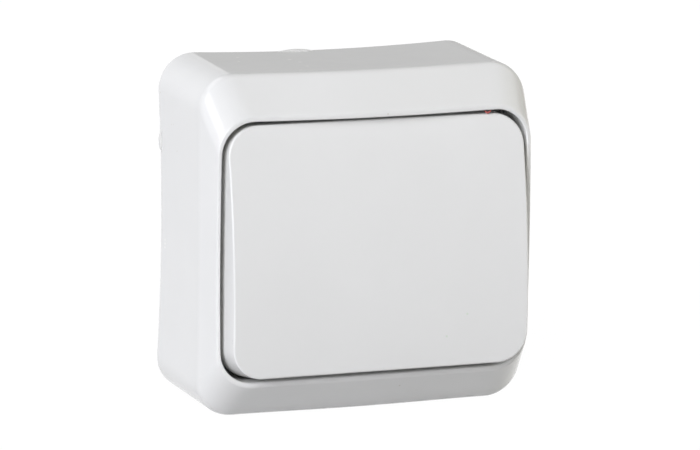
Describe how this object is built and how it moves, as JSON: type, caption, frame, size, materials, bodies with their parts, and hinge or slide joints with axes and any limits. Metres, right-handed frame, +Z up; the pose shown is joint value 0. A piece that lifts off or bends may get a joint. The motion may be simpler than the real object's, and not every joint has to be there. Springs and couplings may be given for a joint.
{
  "type": "light switch",
  "caption": "Surface-mounted light switch: waisted box with bevelled front, wide crowned rocker on a hinge, and a seesaw contact mechanism behind it.",
  "frame": {"origin": "centre of the back face, on the wall", "axes": "+Y into the wall, so the rocker faces -Y; +Z up the wall; +X to the right when facing the switch"},
  "size_m": [0.0702, 0.0388, 0.0708],
  "materials": {
    "housing_white": "glossy moulded plastic, pure white with a faint warm cast",
    "rocker_white": "glossy moulded plastic, as the housing",
    "plate_white": "plain moulded plastic",
    "body_ivory": "moulded thermoset, satin",
    "carrier_grey": "moulded plastic, satin",
    "plunger_beige": "self-lubricating moulded plastic",
    "spring_steel": "drawn spring wire",
    "blade_copper": "rolled copper alloy",
    "contact_silver": "silver alloy contact button",
    "strip_brass": "stamped brass",
    "clamp_steel": "zinc-plated steel",
    "screw_steel": "zinc-plated steel"
  },
  "bodies": {
    "base": {"back_plate": "plate_white", "housing": "housing_white", "cover_screw_upper": "screw_steel", "cover_screw_lower": "screw_steel", "mechanism_body": "body_ivory", "mechanism_screw_left": "screw_steel", "mechanism_screw_right": "screw_steel", "common_strip": "strip_brass", "switched_strip": "strip_brass", "fixed_contact": "contact_silver", "common_clamp_plate": "clamp_steel", "switched_clamp_plate": "clamp_steel", "common_clamp_screw": "screw_steel", "switched_clamp_screw": "screw_steel"},
    "key": {"rocker": "rocker_white", "carrier": "carrier_grey", "plunger_spring": "spring_steel"},
    "plunger": {"plunger": "plunger_beige"},
    "blade": {"contact_blade": "blade_copper", "blade_contact": "contact_silver"}
  },
  "joints": [
    {"name": "rocker_hinge", "type": "hinge", "parent": "base", "child": "key", "pos_m": [0, -0.0315, 0], "axis": [1, 0, 0], "range_deg": [0, 12]},
    {"name": "plunger_slide", "type": "slide", "parent": "key", "child": "plunger", "axis": [0, -0.9945, 0.1045], "range_m": [0, 0.001], "stiffness_N_per_m": 200, "springref_m": -0.002, "deforming": ["plunger_spring"]},
    {"name": "contact_rock", "type": "hinge", "parent": "base", "child": "blade", "pos_m": [0, -0.0165, 0], "axis": [1, 0, 0], "range_deg": [-18, 0]}
  ],
  "couplings": [
    {"joint": "contact_rock", "follows": "rocker_hinge", "ratio": -1.5}
  ]
}
